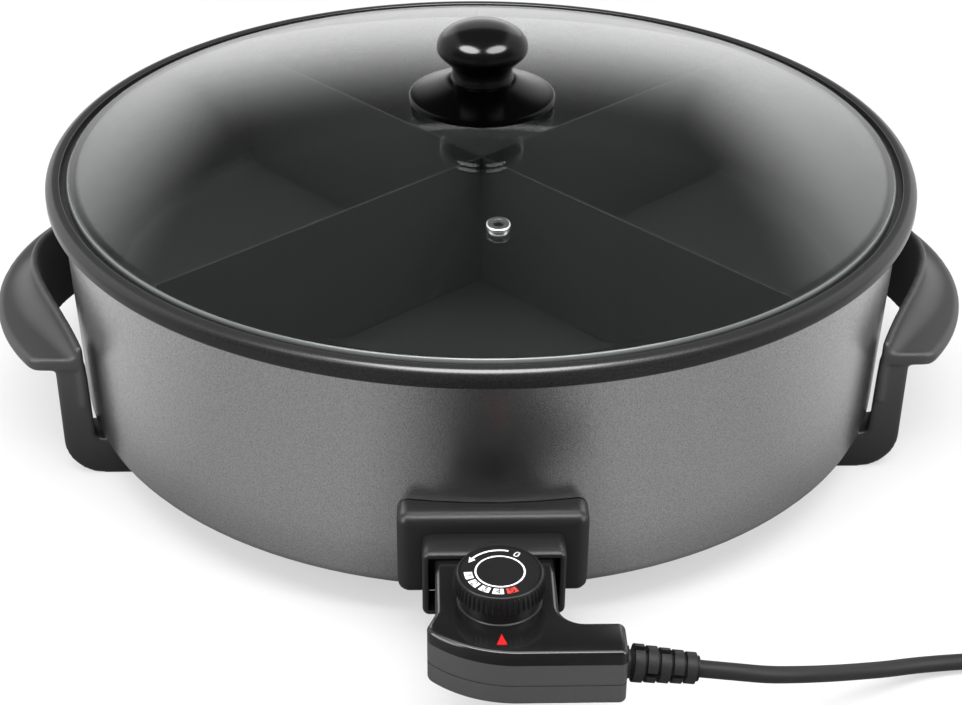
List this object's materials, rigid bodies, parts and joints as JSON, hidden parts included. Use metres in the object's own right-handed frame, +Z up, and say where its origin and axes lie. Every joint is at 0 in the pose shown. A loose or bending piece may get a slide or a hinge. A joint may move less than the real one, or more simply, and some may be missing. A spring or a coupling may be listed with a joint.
{
  "type": "electric grill pan",
  "caption": "Round electric grill pan: grey drum housing, divided dark pan, domed glass lid, black handles with legs, and a plug-in thermostat on a cord.",
  "frame": {"origin": "On the table under the middle of the plan, halfway between the rim's back and the thermostat's front; the pan's axis is 37.0 mm behind it.", "axes": "+Z up along the pan's axis, +X to the right seen from the front, -Y to the front, where the thermostat plugs in."},
  "size_m": [0.5813, 0.494, 0.2016],
  "materials": {
    "housing_paint": "satin",
    "non_stick": "satin",
    "plain_steel": "satin",
    "heater_steel": "matte",
    "cast_aluminium": "matte",
    "bright_metal": "gloss",
    "insulator": "matte",
    "black_plastic": "satin",
    "divider_sheet": "satin",
    "clear_glass": "gloss",
    "knob_gloss": "gloss",
    "grey_rubber": "matte",
    "controller_gloss": "gloss",
    "controller_satin": "satin",
    "contact_brass": "satin",
    "red_lens": "gloss",
    "lamp_glass": "gloss",
    "dial_plastic": "satin",
    "dial_print": "satin",
    "cord_rubber": "satin",
    "tie_plastic": "matte"
  },
  "bodies": {
    "pan": {"housing_shell": "housing_paint", "cooking_pan": "non_stick", "base_plate": "plain_steel", "base_screws": "plain_steel", "heating_element": "heater_steel", "element_clamps": "plain_steel", "probe_block": "cast_aluminium", "terminal_pins": "bright_metal", "terminal_block": "insulator", "socket_frame": "black_plastic", "socket_tunnel": "black_plastic", "socket_screws": "plain_steel", "handle_left": "black_plastic", "handle_right": "black_plastic", "handle_screws": "plain_steel", "handle_nuts": "plain_steel"},
    "divider": {"divider_long": "divider_sheet", "divider_cross": "divider_sheet"},
    "lid": {"lid_glass": "clear_glass", "lid_knob": "knob_gloss", "knob_plate": "knob_gloss", "knob_gasket": "grey_rubber", "knob_washer": "plain_steel", "knob_screw": "plain_steel", "vent_eyelet": "bright_metal"},
    "thermostat": {"controller_top": "controller_gloss", "controller_base": "controller_satin", "controller_screws": "plain_steel", "contact_carrier": "insulator", "contact_sleeves": "contact_brass", "probe_tube": "plain_steel", "switch_frame": "plain_steel", "switch_leaves": "contact_brass", "pilot_lens": "red_lens", "pilot_lamp": "lamp_glass", "cord_clamp": "insulator", "strain_relief": "cord_rubber", "cord_run": "cord_rubber", "cord_coil": "cord_rubber", "coil_tie": "tie_plastic", "plug_body": "cord_rubber", "plug_pins": "bright_metal", "plug_earth": "contact_brass"},
    "dial": {"dial_knob": "dial_plastic", "dial_face": "dial_print", "dial_shaft": "plain_steel"}
  },
  "joints": [
    {"name": "divider_lift", "type": "slide", "parent": "pan", "child": "divider", "axis": [0, 0, 1], "range_m": [0, 0.12]},
    {"name": "lid_lift", "type": "slide", "parent": "divider", "child": "lid", "axis": [0, 0, 1], "range_m": [0, 0.15]},
    {"name": "thermostat_pull", "type": "slide", "parent": "pan", "child": "thermostat", "axis": [0, -1, 0], "range_m": [0, 0.08]},
    {"name": "dial_turn", "type": "hinge", "parent": "thermostat", "child": "dial", "pos_m": [0.0012, -0.21401, 0.066], "axis": [0, 0, 1], "range_deg": [-40, 200]}
  ]
}
